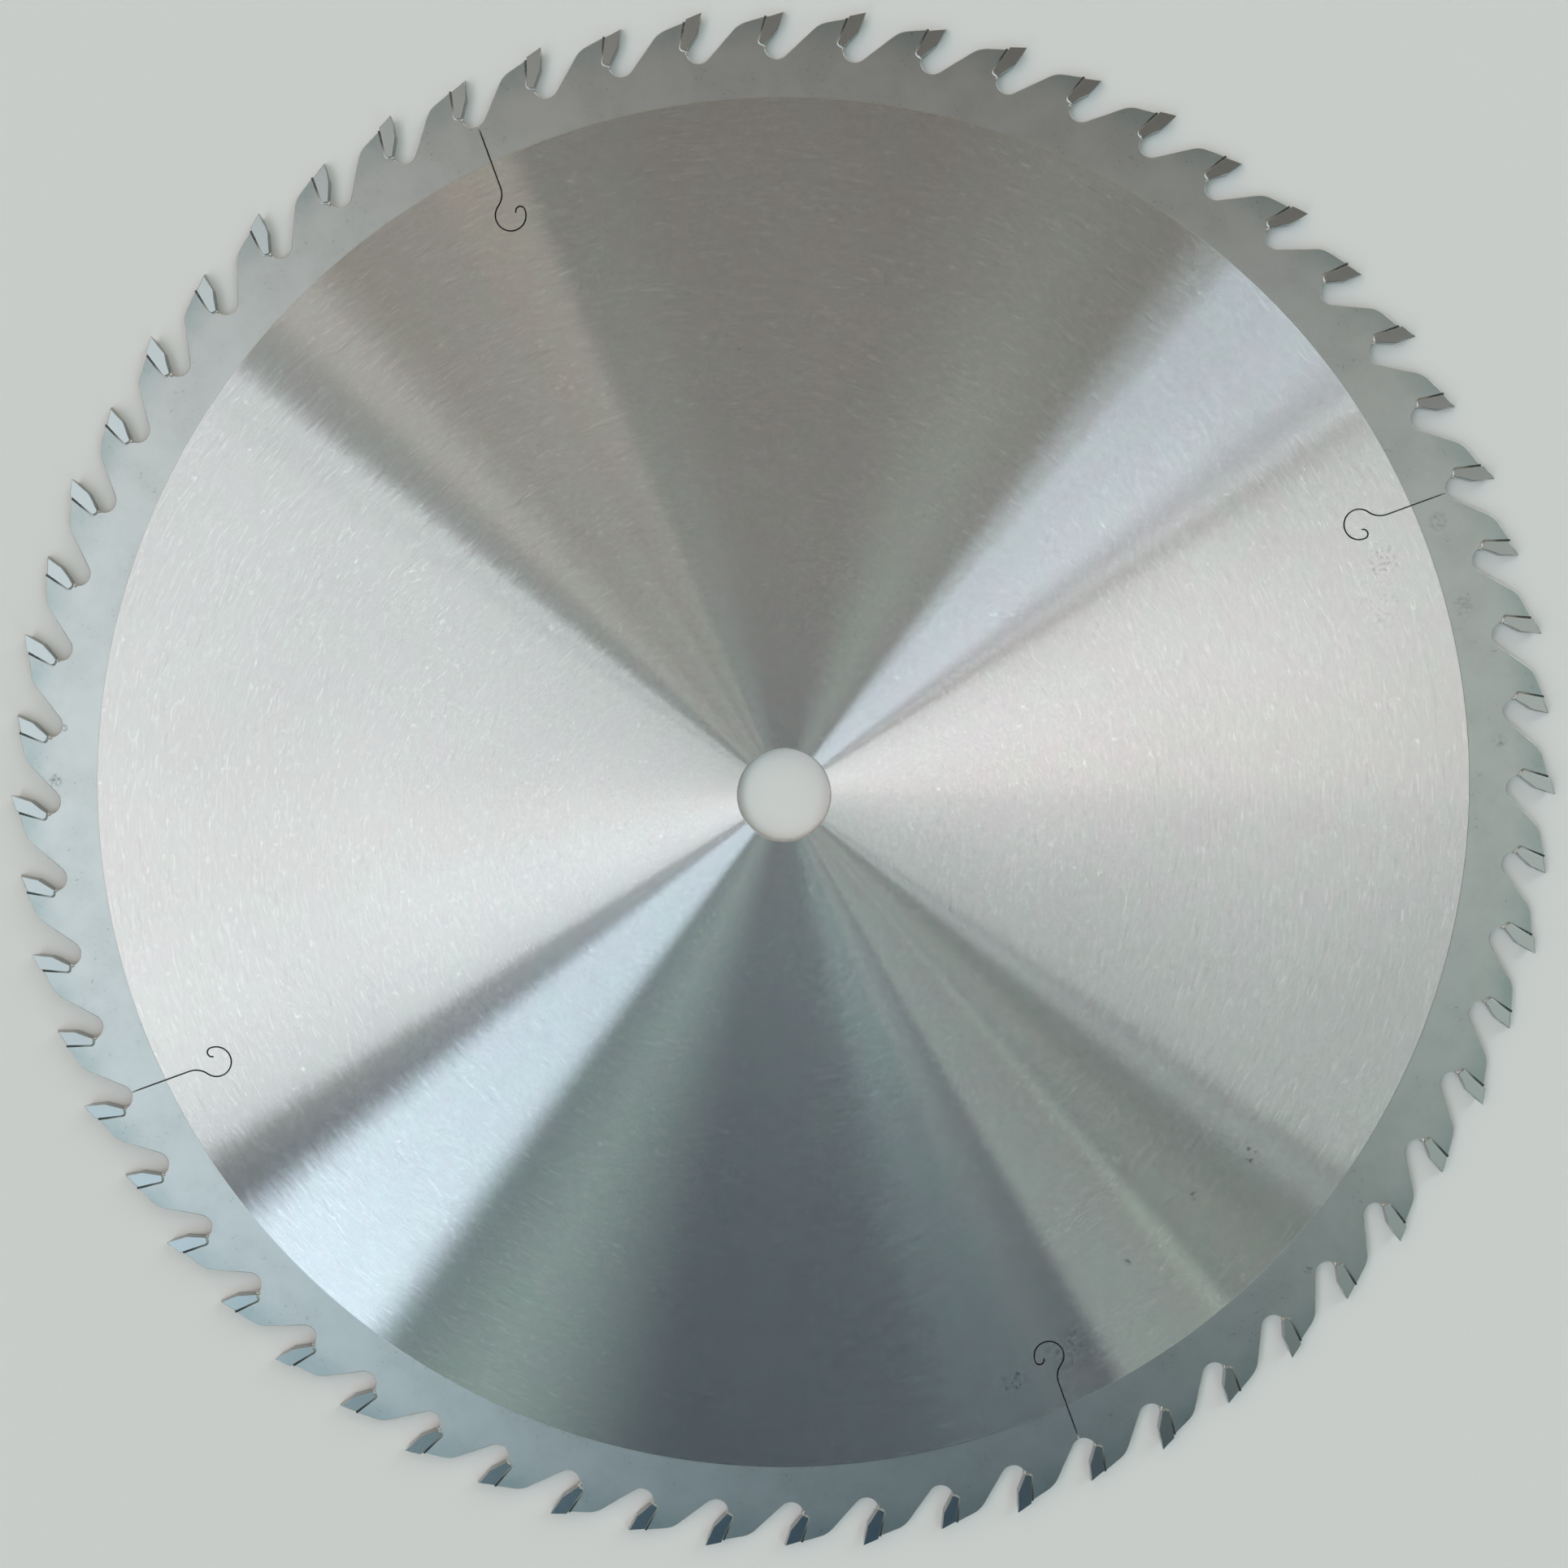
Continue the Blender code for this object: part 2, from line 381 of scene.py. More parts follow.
def finished(name, shell, materials):
    """An object with this mesh, at the origin, its flat faces flat and its rounds smooth."""
    mesh = bpy.data.meshes.new(name)
    shell.to_mesh(mesh)
    shell.free()
    for finish in materials:
        mesh.materials.append(finish)
    mesh.set_sharp_from_angle(angle=SHARP)
    for face in mesh.polygons:
        face.use_smooth = face.area < FLAT_AREA
    piece = bpy.data.objects.new(name, mesh)
    bpy.context.scene.collection.objects.link(piece)
    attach(piece, BODY)
    return piece


def keep_sector(shell, start, end):
    """Cuts away all but the sector between two angles, which is less than half a turn."""
    for angle, side in ((start, 1), (end, -1)):
        outwards = side * Vector((math.sin(angle), -math.cos(angle), 0))
        everything = shell.verts[:] + shell.edges[:] + shell.faces[:]
        bmesh.ops.bisect_plane(
            shell, geom=everything, dist=WELD, plane_co=(0, 0, 0), plane_no=outwards, clear_outer=True
        )


def azimuth(corner):
    """The angle round the bore at which a corner stands."""
    return math.atan2(corner.co.y, corner.co.x)


def split_at_radius(shell, radius):
    """Cuts a quarter's flat faces along a circle, from its first cut to the slot and on to its last cut."""
    level = [face for face in shell.faces if is_level(face) and len(face.verts) > MOST_WALL_CORNERS]
    for edge in {edge for face in level for edge in face.edges}:
        first, last = edge.verts
        inner, outer = first.co.xy.length, last.co.xy.length
        if (inner - radius) * (outer - radius) < 0:
            run = last.co.xy - first.co.xy
            half = first.co.xy.dot(run) / run.length_squared
            gap = (first.co.xy.length_squared - radius**2) / run.length_squared
            root = math.sqrt(half**2 - gap)
            share = -half + root if 0 < -half + root < 1 else -half - root
            bmesh.utils.edge_split(edge, first, share)
    for face in level:
        on_circle = [corner for corner in face.verts if abs(corner.co.xy.length - radius) < WELD]
        ends = sorted(on_circle, key=azimuth)
        for start, end in (ends[:2], ends[2:]):
            whole = next(face for face in start.link_faces if is_level(face) and end in face.verts)
            turn = azimuth(end) - azimuth(start)
            steps = math.ceil(turn / ARC_STEP)
            angles = [azimuth(start) + turn * step / steps for step in range(1, steps)]
            between = [(radius * math.cos(angle), radius * math.sin(angle), start.co.z) for angle in angles]
            bmesh.utils.face_split(whole, start, end, coords=between)


def is_cut(edge, radius):
    """True for an edge that a quarter's cut left on the flat faces, beyond this radius."""
    nearer, further = sorted(corner.co.xy.length for corner in edge.verts)
    is_flat = all(is_level(face) for face in edge.link_faces)
    return is_flat and nearer > radius - WELD and further > radius + WELD


def plate_shell(sizes):
    """The whole plate: its clean quarter, with every seat empty, turned round the bore."""
    shell = copy_of(PLATE_NODE)
    quarter = 2 * math.pi / QUARTERS
    start = CLEAN_QUARTER_START * PITCH
    keep_sector(shell, start, start + quarter)
    for side in (1, -1):
        flat = [face for face in shell.faces if face.normal.z * side > math.cos(SHARP)]
        bmesh.ops.dissolve_faces(shell, faces=flat, use_verts=True)
    split_at_radius(shell, sizes.finish_radius)
    everything = shell.verts[:] + shell.edges[:] + shell.faces[:]
    bmesh.ops.spin(
        shell,
        geom=everything,
        cent=(0, 0, 0),
        axis=(0, 0, 1),
        angle=quarter * (QUARTERS - 1),
        steps=QUARTERS - 1,
        use_duplicate=True,
    )
    bmesh.ops.remove_doubles(shell, verts=shell.verts, dist=WELD)
    shell.normal_update()
    cuts = [edge for edge in shell.edges if is_cut(edge, sizes.finish_radius)]
    bmesh.ops.dissolve_edges(shell, edges=cuts)
    gullet_floor = min(
        corner.co.xy.length
        for corner in shell.verts
        if corner.co.xy.length > GULLET_ZONE and abs(azimuth(corner)) < PITCH / 2
    )
    rim = [
        edge
        for edge in shell.edges
        if fold_of(edge) > SHARP
        and any(is_level(face) for face in edge.link_faces)
        and min(corner.co.xy.length for corner in edge.verts) > gullet_floor - WELD
    ]
    bevel_edges(shell, rim, sizes.rim_chamfer, segments=1)
    lower_rim(shell, sizes)
    return shell


def lower_rim(shell, sizes):
    """Lowers the rim band of both faces, with a narrow slope along the circle where it starts."""
    circle = [
        edge
        for edge in shell.edges
        if all(is_level(face) for face in edge.link_faces)
        and all(abs(corner.co.xy.length - sizes.finish_radius) < WELD for corner in edge.verts)
    ]
    bevel_edges(shell, circle, sizes.shoulder_width / 2, segments=1)
    shell.normal_update()
    band = {
        corner
        for face in shell.faces
        if is_level(face)
        for corner in face.verts
        if corner.co.xy.length > sizes.finish_radius
    }
    for corner in band:
        corner.co.z -= math.copysign(sizes.rim_relief, corner.co.z)
    shell.normal_update()


# The plate's finishes, in the order of its material slots
GROUND, CUT, BORED, BLASTED, BROKEN = range(5)


class SAWBLADE_OT_ground_plate(bpy.types.Operator):
    """Build the steel plate with its ground centre, blasted rim, gullets, slots and bore"""

    bl_idname = "sawblade.ground_plate"
    bl_label = "Ground Plate"

    def execute(self, context):
        scene = context.scene
        shell = plate_shell(scene.blade_sizes)
        for face in shell.faces:
            spread = max(corner.co.xy.length for corner in face.verts)
            if is_level(face):
                face.material_index = GROUND if spread < scene.blade_sizes.finish_radius else BLASTED
            elif spread < BORE_ZONE:
                face.material_index = BORED
            # The bevels round the teeth and gullets take the lighter finish of a painted highlight
            elif abs(face.normal.z) > CHAMFER_RISE:
                face.material_index = BROKEN
            else:
                face.material_index = CUT
        finishes = [
            ground_steel(scene.steel_finish),
            cut_steel(scene.steel_finish),
            bored_steel(scene.steel_finish),
            blasted_steel(scene.steel_finish),
            highlit_broken_edge(scene.steel_finish),
        ]
        plate = finished("ground_plate", shell, finishes)
        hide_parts(PLATE_NODE)
        return {"FINISHED"}


def turn_mesh(shell, angle):
    bmesh.ops.rotate(shell, cent=(0, 0, 0), matrix=Matrix.Rotation(angle, 3, "Z"), verts=shell.verts)


class SAWBLADE_OT_carbide_tips(bpy.types.Operator):
    """Build the sixty ground carbide tips, the last from the one two teeth before it"""

    bl_idname = "sawblade.carbide_tips"
    bl_label = "Carbide Tips"

    def execute(self, context):
        scene = context.scene
        finish = ground_carbide(scene.tip_finish)
        for tooth in range(TOOTH_COUNT):
            if tooth < len(TIP_NODES):
                source = TIP_NODES[tooth]
                shell = copy_of(source)
            else:
                source = PLATE_NODE
                shell = copy_of(TIP_NODES[tooth - 2])
                turn_mesh(shell, 2 * PITCH)
            sharp = [edge for edge in shell.edges if fold_of(edge) > SHARP]
            bevel_edges(shell, sharp, scene.blade_sizes.tip_chamfer, segments=2)
            tip = finished(f"ground_tip_{tooth + 1:02d}", shell, [finish])
            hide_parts(source)
        return {"FINISHED"}


def plate_face():
    """Half the plate's thickness, read inside the gullets."""
    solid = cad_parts[PLATE_NODE].data
    return max(corner.co.z for corner in solid.vertices if corner.co.xy.length < GULLET_ZONE)


def seam_shell(sizes, tooth):
    """One brazed seam: a bead swept along the tip's foot, round its heel and up its back."""
    face = plate_face()
    width = sizes.seam_width
    fillet = sizes.seam_fillet
    down = Vector((-math.cos(sizes.hook_angle), math.sin(sizes.hook_angle), 0))
    back = Vector((math.sin(sizes.hook_angle), math.cos(sizes.hook_angle), 0))
    edge = Vector((TIP_CIRCLE_RADIUS, 0, 0))
    up = Vector((0, 0, 1))

    foot = edge + sizes.tip_length * down + sizes.nose_thickness * back
    heel = edge + (sizes.tip_length - sizes.heel_radius) * down
    heel += (sizes.tip_thickness - sizes.heel_radius) * back

    # The bead fills the joint, and its crown leans from the tip's side down to the plate's face
    crown = [(0, face + fillet), (width / 2, face + fillet / 2), (width + fillet, face + fillet / 8)]
    inside = [(width, face - fillet)]
    profile = crown + inside
    profile += [(across, -height) for across, height in reversed(profile)]

    shell = bmesh.new()
    corners = [shell.verts.new(foot + across * down + height * up) for across, height in profile]
    section = shell.faces.new(corners)
    foot_run = sizes.tip_thickness - sizes.nose_thickness - sizes.heel_radius
    back_run = sizes.tip_length - sizes.heel_radius - sizes.land_depth

    def push(end, way, is_start=False):
        """Lengthens the bead along a way, from this end face, and returns its new end face."""
        grown = bmesh.ops.extrude_face_region(shell, geom=[end])["geom"]
        moved = [piece for piece in grown if isinstance(piece, bmesh.types.BMVert)]
        bmesh.ops.translate(shell, vec=way, verts=moved)
        if not is_start:
            bmesh.ops.delete(shell, geom=[end], context="FACES_ONLY")
        return next(piece for piece in grown if isinstance(piece, bmesh.types.BMFace))

    section = push(section, foot_run * back, is_start=True)
    turned = bmesh.ops.spin(
        shell,
        geom=[section],
        cent=heel,
        axis=(0, 0, 1),
        angle=-math.pi / 2,
        steps=HEEL_STEPS,
        use_merge=False,
    )["geom_last"]
    bmesh.ops.delete(shell, geom=[section], context="FACES_ONLY")
    section = next(piece for piece in turned if isinstance(piece, bmesh.types.BMFace))
    section = push(section, -back_run * down)
    outer = [corner for corner in section.verts if (corner.co - heel).dot(back) > sizes.heel_radius + WELD]
    bmesh.ops.translate(shell, vec=sizes.seam_flare * back, verts=outer)
    bmesh.ops.remove_doubles(shell, verts=shell.verts, dist=WELD)

    # A drop stands where the seam meets the gullet, a little larger on some teeth than on others
    drop = sizes.solder_drop * (LEAST_DROP_SHARE + DROP_RANGE_SHARE * (tooth * GOLDEN_SHARE % 1))
    ball = bmesh.ops.create_uvsphere(shell, u_segments=DROP_SIDES, v_segments=DROP_RINGS, radius=1)
    ball = ball["verts"]
    bmesh.ops.scale(shell, vec=(drop, drop * DROP_WIDTH_SHARE, face + sizes.drop_height), verts=ball)
    lean = math.atan2(down.y, down.x)
    bmesh.ops.rotate(shell, cent=(0, 0, 0), matrix=Matrix.Rotation(lean, 3, "Z"), verts=ball)
    bmesh.ops.translate(shell, vec=foot + drop / 2 * down, verts=ball)
    turn_mesh(shell, tooth * PITCH)
    bmesh.ops.recalc_face_normals(shell, faces=shell.faces)
    return shell


class SAWBLADE_OT_braze_seams(bpy.types.Operator):
    """Build the silver-brazed seam of every tip"""

    bl_idname = "sawblade.braze_seams"
    bl_label = "Braze Seams"

    def execute(self, context):
        scene = context.scene
        finish = silver_solder(scene.tip_finish)
        for tooth in range(TOOTH_COUNT):
            shell = seam_shell(scene.blade_sizes, tooth)
            seam = finished(f"braze_seam_{tooth + 1:02d}", shell, [finish])
        return {"FINISHED"}


# Finishes


class Nodes:
    """A node tree under construction, with short ways to add to it."""

    def __init__(self, tree):
        self.tree = tree

    def add(self, kind, *values, **settings):
        """A node with these settings; each value sets or feeds the input at its place."""
        made = self.tree.nodes.new(kind)
        for key, setting in settings.items():
            setattr(made, key, setting)
        for socket, value in zip(made.inputs, values):
            self.feed(socket, value)
        return made

    def feed(self, socket, value):
        if isinstance(value, bpy.types.NodeSocket):
            self.tree.links.new(value, socket)
        elif value is not None:
            socket.default_value = value

    def sums(self, operation, *values):
        return self.add("ShaderNodeMath", *values, operation=operation).outputs[0]

    def vector(self, operation, *values):
        made = self.add("ShaderNodeVectorMath", operation=operation)
        for socket, value in zip(made.inputs, values):
            self.feed(socket, value)
        return made.outputs["Value" if operation in ("LENGTH", "DISTANCE") else "Vector"]

    def scaled(self, vector, factor):
        made = self.add("ShaderNodeVectorMath", operation="SCALE")
        self.feed(made.inputs[0], vector)
        self.feed(made.inputs["Scale"], factor)
        return made.outputs["Vector"]

    def noise(self, vector, scale, detail=2.0, roughness=0.5):
        made = self.add("ShaderNodeTexNoise")
        self.feed(made.inputs["Vector"], vector)
        made.inputs["Scale"].default_value = scale
        made.inputs["Detail"].default_value = detail
        made.inputs["Roughness"].default_value = roughness
        return made.outputs[0]

    def centred(self, noise, width):
        """Noise turned into values that swing round zero over this width."""
        return self.sums("MULTIPLY", self.sums("SUBTRACT", noise, 0.5), width)

    def between(self, value, low, high, to_low=0.0, to_high=1.0):
        """The value eased from low to high onto another range."""
        made = self.add("ShaderNodeMapRange", value, low, high, to_low, to_high)
        made.interpolation_type = "SMOOTHSTEP"
        return made.outputs[0]

    def blend(self, share, first, second):
        """A mix of two colours."""
        made = self.add("ShaderNodeMix", data_type="RGBA")
        self.feed(made.inputs[0], share)
        self.feed(made.inputs[6], opaque(first))
        self.feed(made.inputs[7], opaque(second))
        return made.outputs[2]

    def number(self, share, first, second):
        """A mix of two numbers."""
        made = self.add("ShaderNodeMix", share, data_type="FLOAT")
        self.feed(made.inputs[2], first)
        self.feed(made.inputs[3], second)
        return made.outputs[0]


# The width over which the groove noise gives flanks of the full tilt, and the power that leaves most of the
# grooves shallow and a few steep
GROOVE_SPREAD = 0.164
GROOVE_STEEPNESS = 1.5

# A slanted direction, so that the noise's own lattice never lines up along a radius
GRAIN_WAY = (0.48, 0.36, 0.80)


class Finish(Nodes):
    """A material under construction."""

    def __init__(self, name):
        self.material = bpy.data.materials.new(name)
        self.material.use_nodes = True
        super().__init__(self.material.node_tree)
        self.shader = self.tree.nodes["Principled BSDF"]
        self.place = self.add("ShaderNodeTexCoord").outputs["Object"]

    def polar(self):
        """The distance from the bore's axis, and the unit vector that points away from it."""
        flat = self.vector("MULTIPLY", self.place, (1, 1, 0))
        return self.vector("LENGTH", flat), self.vector("NORMALIZE", flat)

    def grain(self, radius, outwards, along, across):
        """Coordinates in which noise turns into dashes that run round the bore."""
        steps = self.scaled(GRAIN_WAY, self.sums("MULTIPLY", radius, across))
        return self.vector("ADD", self.scaled(outwards, along), steps)

    def set(self, **inputs):
        for name, value in inputs.items():
            self.feed(self.shader.inputs[name.replace("_", " ").title()], value)


def opaque(colour):
    return colour if isinstance(colour, bpy.types.NodeSocket) else (*colour, 1)


# Marks of use: their places on the blade, their radius and how strongly they cover the steel
SPECKS = (
    ((0.1926, 0.0752), 0.0080, 0.26),
    ((0.1900, 0.0620), 0.0120, 0.15),
    ((0.0760, -0.1940), 0.0060, 0.60),
    ((0.0930, -0.1830), 0.0100, 0.35),
    ((0.1529, -0.1181), 0.0036, 0.85),
    ((0.1344, -0.1316), 0.0022, 0.60),
    ((0.1133, -0.1531), 0.0022, 0.55),
    ((-0.0141, 0.1427), 0.0009, 0.90),
    ((-0.0252, -0.1070), 0.0022, -0.25),
)
SMEARS = (
    ((0.2107, 0.0882), 0.0040, 0.40),
    ((0.2190, 0.0608), 0.0046, 0.30),
    ((0.1720, -0.1560), 0.0022, 0.70),
    ((0.2320, 0.0174), 0.0030, 0.32),
    ((0.2254, 0.0066), 0.0016, 0.20),
    ((-0.2327, 0.0216), 0.0020, 0.70),
    ((-0.2359, 0.0042), 0.0032, 0.65),
)


def marks(steel, places, spots):
    """How much of the steel is stained here: each mark fades outwards and is broken up by the spots."""
    total = 0.0
    for (across, up), size, strength in places:
        away = steel.vector("DISTANCE", steel.vector("MULTIPLY", steel.place, (1, 1, 0)), (across, up, 0))
        share = steel.between(away, size * 0.35, size, strength, 0.0)
        total = steel.sums("ADD", total, share)
    return steel.sums("MULTIPLY", total, spots)


# Faint tints of the oil film on the ground centre
WARM_TINT = (1.008, 0.992, 1.002)
COOL_TINT = (0.992, 1.006, 0.996)

# How fine each kind of grinding mark is, along its circle and across it
DASH_GRAIN = (24, 850)
SCORE_GRAIN = (55, 1900)
GROOVE_GRAIN = (2000, 300000)


def ground_steel(finish):
    """The plate's centre, ground round the bore: its grooves spread a highlight outwards, not round."""
    steel = Finish("ground_steel")
    radius, outwards = steel.polar()

    dashes = steel.noise(steel.grain(radius, outwards, *DASH_GRAIN), 1.0, 1.0, 0.6)
    clouds = steel.noise(steel.place, 9.0, 3.0)
    light = steel.between(dashes, 0.57, 0.80, 0.0, 0.06)
    dark = steel.between(dashes, 0.20, 0.40, 0.05, 0.0)
    scores = steel.noise(steel.grain(radius, outwards, *SCORE_GRAIN), 1.0, 1.0, 0.6)
    light = steel.sums("ADD", light, steel.between(scores, 0.57, 0.74, 0.0, 0.10))
    dots = steel.between(steel.noise(steel.place, 420.0, 1.0), 0.68, 0.80, 0.0, 0.10)
    light = steel.sums("ADD", light, dots)
    shade = steel.sums("SUBTRACT", steel.sums("ADD", light, 1.0), dark)
    shade = steel.sums("MULTIPLY", shade, steel.between(clouds, 0.3, 0.7, 0.97, 1.03))
    patches = steel.noise(steel.place, 70.0, 2.0)
    tint = steel.blend(steel.between(patches, 0.42, 0.60), WARM_TINT, COOL_TINT)
    colour = steel.scaled(steel.vector("MULTIPLY", tint, tuple(finish.ground_colour)), shade)
    freckles = steel.noise(steel.place, 900.0, 2.0, 0.6)
    stained = marks(steel, SPECKS, steel.between(freckles, 0.56, 0.64))
    colour = steel.blend(stained, colour, finish.stain_colour)

    grooves = steel.grain(radius, outwards, *GROOVE_GRAIN)
    flanks = steel.centred(steel.noise(grooves, 1.0, 0.0), 1.0 / GROOVE_SPREAD)
    steep = steel.sums("POWER", steel.sums("ABSOLUTE", flanks), GROOVE_STEEPNESS)
    lean = steel.sums("MULTIPLY", steel.sums("SIGN", flanks), steep)
    lean = steel.sums("MULTIPLY", lean, finish.groove_tilt)
    waver = steel.centred(steel.noise(steel.scaled(grooves, -1.0), 1.0, 0.0), finish.groove_waver)
    waver = steel.sums("ADD", waver, steel.centred(dashes, finish.dash_waver))
    around = steel.vector("CROSS_PRODUCT", (0, 0, 1), outwards)
    upright = steel.add("ShaderNodeNewGeometry").outputs["Normal"]
    leaning = steel.vector("ADD", upright, steel.scaled(outwards, lean))
    leaning = steel.vector("NORMALIZE", steel.vector("ADD", leaning, steel.scaled(around, waver)))

    steel.set(base_color=colour, roughness=finish.ground_roughness, normal=leaning)
    steel.shader.inputs["Metallic"].default_value = 1.0
    steel.shader.inputs["Anisotropic"].default_value = 1.0
    steel.shader.inputs["Anisotropic Rotation"].default_value = 0.25
    tangent = steel.add("ShaderNodeTangent", direction_type="RADIAL", axis="Z")
    steel.feed(steel.shader.inputs["Tangent"], tangent.outputs[0])
    return steel.material


# The radii between which brazing has darkened the teeth, and between which the solder is darkened by flux and
# by painted shade from the proud tip: a little past the gullet, and then more towards the end of the tip's
# back
HEATED_RADII = (0.2352, 0.2470)
FIRST_FLUX_AND_SHADE_RADII = (0.2380, 0.2390)
FURTHER_FLUX_AND_SHADE_RADII = (0.2390, 0.2450)


def blasted_steel(finish):
    """The rim band between the ground centre and the teeth, dull and faintly smudged."""
    steel = Finish("blasted_steel")
    smudges = steel.noise(steel.place, 60.0, 4.0, 0.65)
    shade = steel.between(smudges, 0.35, 0.7, 1.03, 0.93)
    band = steel.scaled(tuple(finish.rim_colour), shade)
    radius = steel.polar()[0]
    uneven = steel.between(smudges, 0.3, 0.7, 0.5, 1.0)
    heat = steel.sums("MULTIPLY", steel.between(radius, *HEATED_RADII), uneven)
    band = steel.blend(heat, band, finish.tooth_colour)
    freckles = steel.noise(steel.place, 700.0, 3.0, 0.6)
    flecks = steel.sums("MULTIPLY", steel.between(freckles, 0.60, 0.70), 0.40)
    flecks = steel.sums("MULTIPLY", flecks, steel.between(smudges, 0.5, 0.60))
    stained = steel.sums("ADD", flecks, marks(steel, SMEARS, steel.between(freckles, 0.42, 0.60)))
    band = steel.blend(stained, band, finish.stain_colour)
    steel.set(base_color=band, roughness=finish.rim_roughness)
    steel.shader.inputs["Metallic"].default_value = 1.0
    return steel.material


def cut_steel(finish):
    """Laser-cut and ground walls, with striations through the plate's thickness."""
    steel = Finish("cut_steel")
    lines = steel.noise(steel.vector("MULTIPLY", steel.place, (1, 1, 0.1)), 2500.0, 2.0)
    colour = steel.scaled(tuple(finish.edge_colour), steel.between(lines, 0.3, 0.7, 0.9, 1.1))
    steel.set(base_color=colour, roughness=steel.between(lines, 0.3, 0.7, 0.30, 0.42))
    steel.shader.inputs["Metallic"].default_value = 1.0
    return steel.material


def highlit_broken_edge(finish):
    """The dull edge that deburring leaves round the teeth and gullets, its colour painted lighter than the
    steel as a highlight.
    """
    steel = Finish("highlit_broken_edge")
    wear = steel.noise(steel.place, 400.0, 2.0)
    colour = steel.scaled(tuple(finish.edge_highlight_colour), steel.between(wear, 0.3, 0.7, 0.85, 1.1))
    steel.set(base_color=colour, roughness=0.45)
    steel.shader.inputs["Metallic"].default_value = 1.0
    return steel.material


def bored_steel(finish):
    """The reamed bore and its chamfers."""
    steel = Finish("bored_steel")
    rings = steel.noise(steel.vector("MULTIPLY", steel.place, (0.05, 0.05, 1)), 4000.0, 2.0)
    colour = steel.scaled(tuple(finish.ground_colour), steel.between(rings, 0.3, 0.7, 0.92, 1.05))
    steel.set(base_color=colour, roughness=steel.between(rings, 0.3, 0.7, 0.22, 0.32))
    steel.shader.inputs["Metallic"].default_value = 1.0
    return steel.material


def ground_carbide(finish):
    """Tungsten carbide with the fine parallel lines of its grinding."""
    carbide = Finish("ground_carbide")
    lines = carbide.noise(carbide.vector("MULTIPLY", carbide.place, (1, 1, 4)), 3500.0, 2.0)
    colour = carbide.scaled(tuple(finish.carbide_colour), carbide.between(lines, 0.3, 0.7, 0.97, 1.03))
    carbide.set(base_color=colour)
    rough = finish.carbide_roughness
    carbide.set(roughness=carbide.between(lines, 0.3, 0.7, rough - 0.02, rough + 0.02))
    carbide.shader.inputs["Metallic"].default_value = 1.0
    return carbide.material


def silver_solder(finish):
    """Silver solder, bright at the gullet and darkened up the tip's back by flux and by painted shade from
    the proud tip.
    """
    solder = Finish("silver_solder")
    radius = solder.polar()[0]
    spots = solder.noise(solder.place, 2500.0, 2.0)
    # Painted shade with flux: darker from a little past the gullet, and more towards the end of the tip's
    # back
    shadow = solder.between(radius, *FIRST_FLUX_AND_SHADE_RADII, 0.0, 0.35)
    shadow = solder.sums("ADD", shadow, solder.between(radius, *FURTHER_FLUX_AND_SHADE_RADII, 0.0, 0.65))
    share = solder.sums("MULTIPLY", shadow, solder.between(spots, 0.2, 0.5, 0.6, 1.0))
    solder.set(base_color=solder.blend(share, finish.solder_colour, finish.flux_and_shade_colour))
    solder.set(roughness=solder.number(share, 0.25, 0.55))
    solder.shader.inputs["Metallic"].default_value = 1.0
    return solder.material


# Studio

# Each softbox: where it starts and ends round the sky, counted from +X, and how soft those sides are; the
# same counted down from straight above; and its colour as radiance. Angles are in degrees.
SOFTBOXES = {
    "right_window": ((-34, 35, 2), (15, 35, 26), (1.00, 1.20, 1.10)),
    "right_ceiling": ((-15, 35, 45), (-10, 12, 20), (1.90, 1.60, 1.70)),
    "right_strip": ((34, 50, 2), (37, 95, 6), (2.20, 2.60, 2.80)),
    "back_wall": ((50, 120, 2), (38, 85, 6), (0.65, 0.55, 0.40)),
    "back_left_wall": ((113, 137, 2), (10, 65, 6), (0.40, 0.35, 0.30)),
    "back_left_glow": ((132, 143, 4), (15, 60, 6), (0.65, 0.70, 0.70)),
    "left_window": ((142, 207, 15), (30, 90, 6), (0.55, 0.40, 0.35)),
    "left_ceiling": ((142, 212, 2), (3, 41, 6), (1.55, 1.70, 1.75)),
    "left_strip": ((218, 233, 4), (15, 63, 6), (2.10, 2.55, 2.85)),
    "front_left_wall": ((236, 251, 20), (17, 77, 6), (0.60, 0.80, 0.70)),
    "front_ceiling": ((216, 309, 6), (13, 25, 8), (0.02, 0.10, 0.20)),
    "front_streak": ((284, 297, 2), (6, 11, 6), (1.30, 1.80, 1.70)),
    "front_wall": ((300, 311, 2), (35, 95, 6), (1.35, 1.55, 1.35)),
    "front_right_wall": ((310, 325, 2), (35, 65, 6), (0.90, 1.20, 1.10)),
    "back_zenith": ((0, 140, 2), (-10, 7, 35), (1.40, 1.25, 1.10)),
    "front_zenith": ((192, 315, 2), (-10, 10, 6), (0.15, 0.55, 0.75)),
}

# The angles down from straight above between which the softboxes give way to pale walls, in degrees
HORIZON = (80, 86)

# About the direction, east and north, that a level mirror at the bore shows to the camera. The softboxes'
# sides run out from it, because the grooves then mirror each side as one straight ray from bore to rim.
CENTRE_GLINT = (0.0034, -0.064)


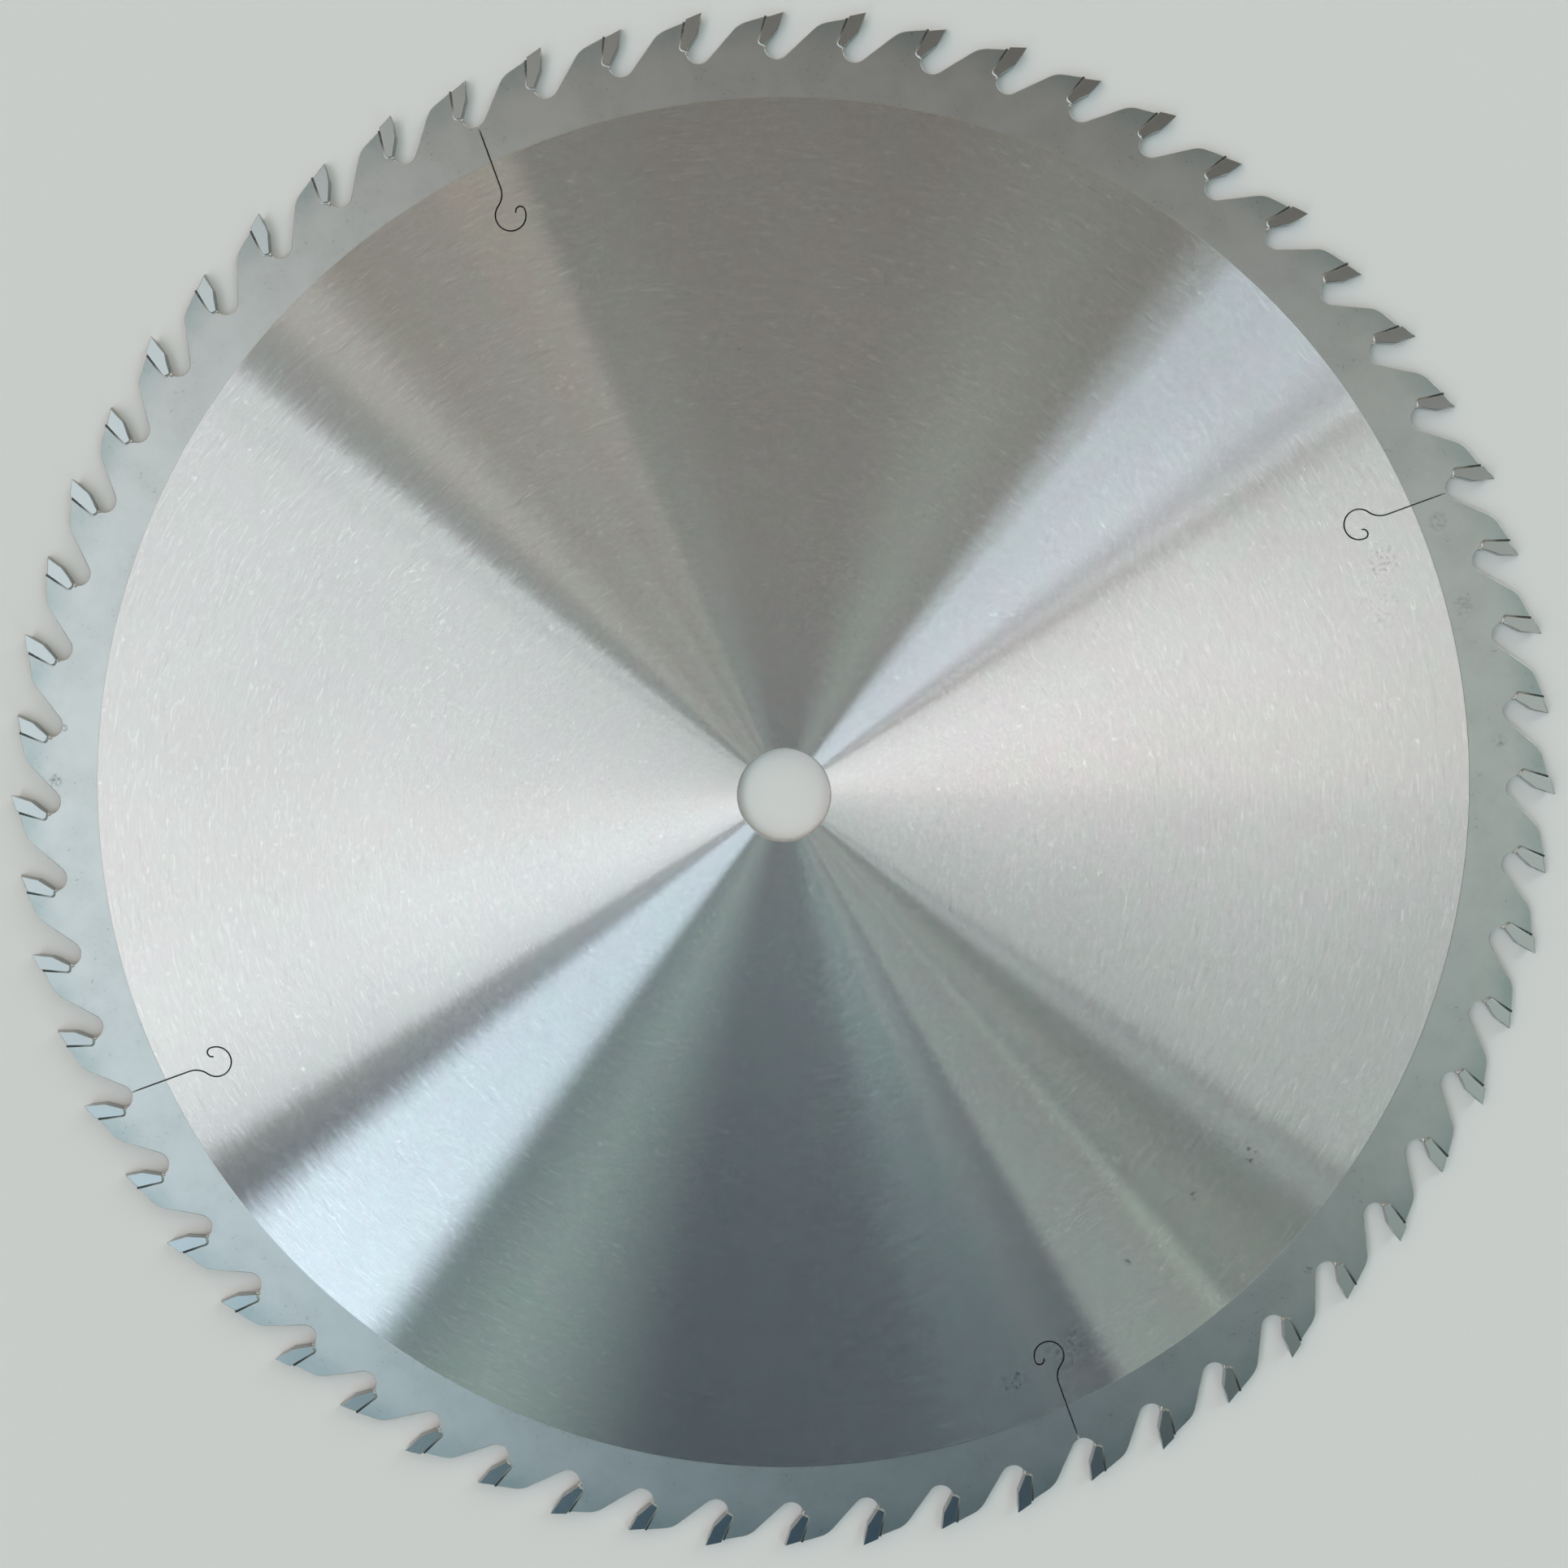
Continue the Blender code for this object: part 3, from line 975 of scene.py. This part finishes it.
class SAWBLADE_OT_studio(bpy.types.Operator):
    """Set up the pale floor, the soft light and the camera"""

    bl_idname = "sawblade.studio"
    bl_label = "Studio"

    def execute(self, context):
        scene = context.scene
        setup = scene.studio_setup
        self.make_floor(scene, setup)
        self.make_world(scene, setup)
        self.make_camera(scene, setup)
        scene.view_settings.view_transform = "Standard"
        return {"FINISHED"}

    def make_floor(self, scene, setup):
        shell = bmesh.new()
        bmesh.ops.create_circle(shell, cap_ends=True, radius=FLOOR_RADIUS, segments=FLOOR_SIDES)
        bmesh.ops.translate(shell, vec=(0, 0, REST_HEIGHT - WELD), verts=shell.verts)
        mesh = bpy.data.meshes.new("pale_floor")
        shell.to_mesh(mesh)
        shell.free()
        paint = Finish("pale_floor")
        paint.set(base_color=(*setup.floor_colour, 1), roughness=0.9)
        mesh.materials.append(paint.material)
        floor = bpy.data.objects.new("pale_floor", mesh)
        scene.collection.objects.link(floor)

    def make_world(self, scene, setup):
        world = bpy.data.worlds.new("studio")
        world.use_nodes = True
        sky = Nodes(world.node_tree)
        way = sky.add("ShaderNodeTexCoord").outputs["Generated"]
        east, north, height = sky.add("ShaderNodeSeparateXYZ", way).outputs
        across = sky.sums("SUBTRACT", east, CENTRE_GLINT[0])
        up = sky.sums("SUBTRACT", north, CENTRE_GLINT[1])
        around = sky.sums("DEGREES", sky.sums("ARCTAN2", up, across))
        down = sky.sums("DEGREES", sky.sums("ARCCOSINE", height))
        light = (0, 0, 0)
        for (start, end, blur), (top, foot, fade), colour in SOFTBOXES.values():
            away = sky.sums("WRAP", sky.sums("SUBTRACT", around, (start + end) / 2), 180.0, -180.0)
            half = (end - start) / 2
            share = sky.between(sky.sums("ABSOLUTE", away), half - blur / 2, half + blur / 2, 1.0, 0.0)
            for edge, inside in ((top, (0.0, 1.0)), (foot, (1.0, 0.0))):
                if 0 < edge < 90:
                    share = sky.sums(
                        "MULTIPLY", share, sky.between(down, edge - fade / 2, edge + fade / 2, *inside)
                    )
            light = sky.vector("ADD", light, sky.scaled(colour, share))
        seen = sky.add("ShaderNodeLightPath").outputs["Is Camera Ray"]
        pale = sky.sums("MAXIMUM", seen, sky.between(down, *HORIZON))
        backdrop = sky.tree.nodes["Background"]
        sky.feed(backdrop.inputs["Color"], sky.blend(pale, light, setup.floor_colour))
        scene.world = world

    def make_camera(self, scene, setup):
        lens = bpy.data.cameras.new("camera")
        lens.lens = setup.lens
        lens.clip_start = 0.01
        camera = bpy.data.objects.new("camera", lens)
        camera.location = setup.camera_place
        camera.rotation_euler = (setup.camera_tilt, setup.camera_sway, 0)
        scene.collection.objects.link(camera)
        scene.camera = camera


class SAWBLADE_PT_panel(bpy.types.Panel):
    """The blade's steps, in the order in which they run"""

    bl_label = "Circular Saw Blade"
    bl_idname = "SAWBLADE_PT_panel"
    bl_space_type = "VIEW_3D"
    bl_region_type = "UI"
    bl_category = "Saw Blade"

    def draw(self, context):
        for step in STEPS:
            self.layout.operator(step.bl_idname)
        for group in GROUPS:
            settings = getattr(context.scene, group)
            box = self.layout.box()
            for name in settings.bl_rna.properties.keys():
                if name not in ("rna_type", "name"):
                    box.prop(settings, name)


STEPS = (
    SAWBLADE_OT_ground_plate,
    SAWBLADE_OT_carbide_tips,
    SAWBLADE_OT_braze_seams,
    SAWBLADE_OT_studio,
)
GROUPS = {
    "blade_sizes": BladeSizes,
    "steel_finish": SteelFinish,
    "tip_finish": TipFinish,
    "studio_setup": StudioSetup,
}


def register():
    for name, group in GROUPS.items():
        bpy.utils.register_class(group)
        setattr(bpy.types.Scene, name, PointerProperty(type=group))
    for step in STEPS:
        bpy.utils.register_class(step)
    bpy.utils.register_class(SAWBLADE_PT_panel)


def unregister():
    bpy.utils.unregister_class(SAWBLADE_PT_panel)
    for step in reversed(STEPS):
        bpy.utils.unregister_class(step)
    for name, group in GROUPS.items():
        delattr(bpy.types.Scene, name)
        bpy.utils.unregister_class(group)


def main():
    register()
    bpy.ops.sawblade.ground_plate()
    bpy.ops.sawblade.carbide_tips()
    bpy.ops.sawblade.braze_seams()
    bpy.ops.sawblade.studio()


if __name__ == "__main__":
    main()
